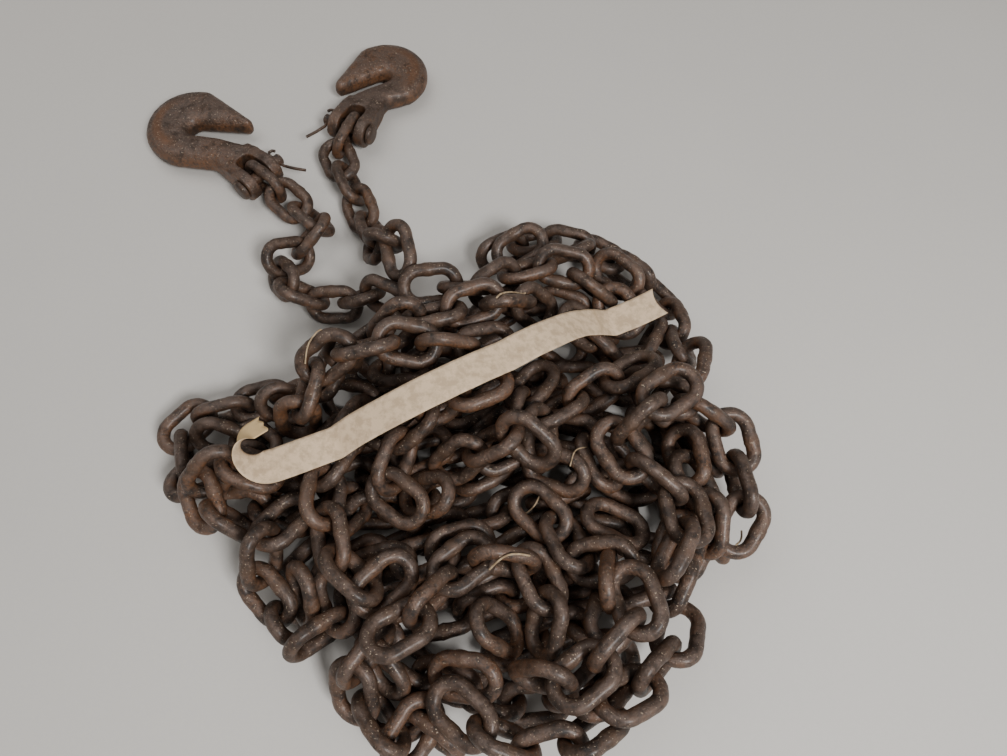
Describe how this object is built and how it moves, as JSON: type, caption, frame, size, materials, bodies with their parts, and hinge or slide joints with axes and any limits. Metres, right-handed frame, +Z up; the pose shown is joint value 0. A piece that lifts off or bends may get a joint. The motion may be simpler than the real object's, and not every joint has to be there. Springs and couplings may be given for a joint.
{
  "type": "heap of steel chain",
  "caption": "Loose heap of rusty welded steel chain with a clevis grab hook at each end and a strip of masking tape across the top.",
  "frame": {"origin": "middle of the whole object's box, on the floor it lies on", "axes": "+Z up; +Y from the heap's near edge towards the hooks; +X to the right as seen from the near edge"},
  "size_m": [0.5168, 0.65, 0.1108],
  "materials": {
    "rusty_steel": "dark brown rust with worn grey highlights",
    "rusty_hook_steel": "rusted forging, slightly redder than the chain",
    "pin_steel": "dull brown steel",
    "masking_tape": "matt cream crepe paper",
    "shadowed_steel": "dark rusted steel in shadow"
  },
  "bodies": {
    "heap": {"heap_core": "shadowed_steel", "tape_strip": "masking_tape", "run_left_end": "rusty_steel", "run_right_end": "rusty_steel", "run_top_edge": "rusty_steel", "run_right_lobe": "rusty_steel", "run_left_upper": "rusty_steel", "run_left_lower": "rusty_steel", "run_lower_left": "rusty_steel", "run_lower_tip": "rusty_steel", "run_bottom": "rusty_steel", "run_right_lower": "rusty_steel", "run_north_rim": "rusty_steel", "run_north_inner": "rusty_steel", "run_west_inner": "rusty_steel", "run_tape_east": "rusty_steel", "run_east_inner": "rusty_steel", "run_centre": "rusty_steel", "run_heart": "rusty_steel", "run_middle_west": "rusty_steel", "run_south_inner": "rusty_steel", "run_south_east": "rusty_steel", "left_link_01": "rusty_steel", "left_link_02": "rusty_steel", "left_link_03": "rusty_steel", "left_link_04": "rusty_steel", "left_link_05": "rusty_steel", "left_link_06": "rusty_steel", "left_link_07": "rusty_steel", "left_link_08": "rusty_steel", "right_link_01": "rusty_steel", "right_link_02": "rusty_steel", "right_link_03": "rusty_steel", "right_link_04": "rusty_steel", "right_link_05": "rusty_steel", "clevis_pin_left": "pin_steel", "cotter_left": "pin_steel", "clevis_pin_right": "pin_steel", "cotter_right": "pin_steel"},
    "left_hook": {"hook_left": "rusty_hook_steel"},
    "right_hook": {"hook_right": "rusty_hook_steel"}
  },
  "joints": [
    {"name": "left_hook_hinge", "type": "hinge", "parent": "heap", "child": "left_hook", "pos_m": [-0.1429, 0.15455, 0.018], "axis": [0.6494, 0.7604, 0], "range_deg": [0, 100]},
    {"name": "right_hook_hinge", "type": "hinge", "parent": "heap", "child": "right_hook", "pos_m": [-0.0609, 0.21255, 0.018], "axis": [0.9135, -0.4067, 0], "range_deg": [0, 100]}
  ]
}
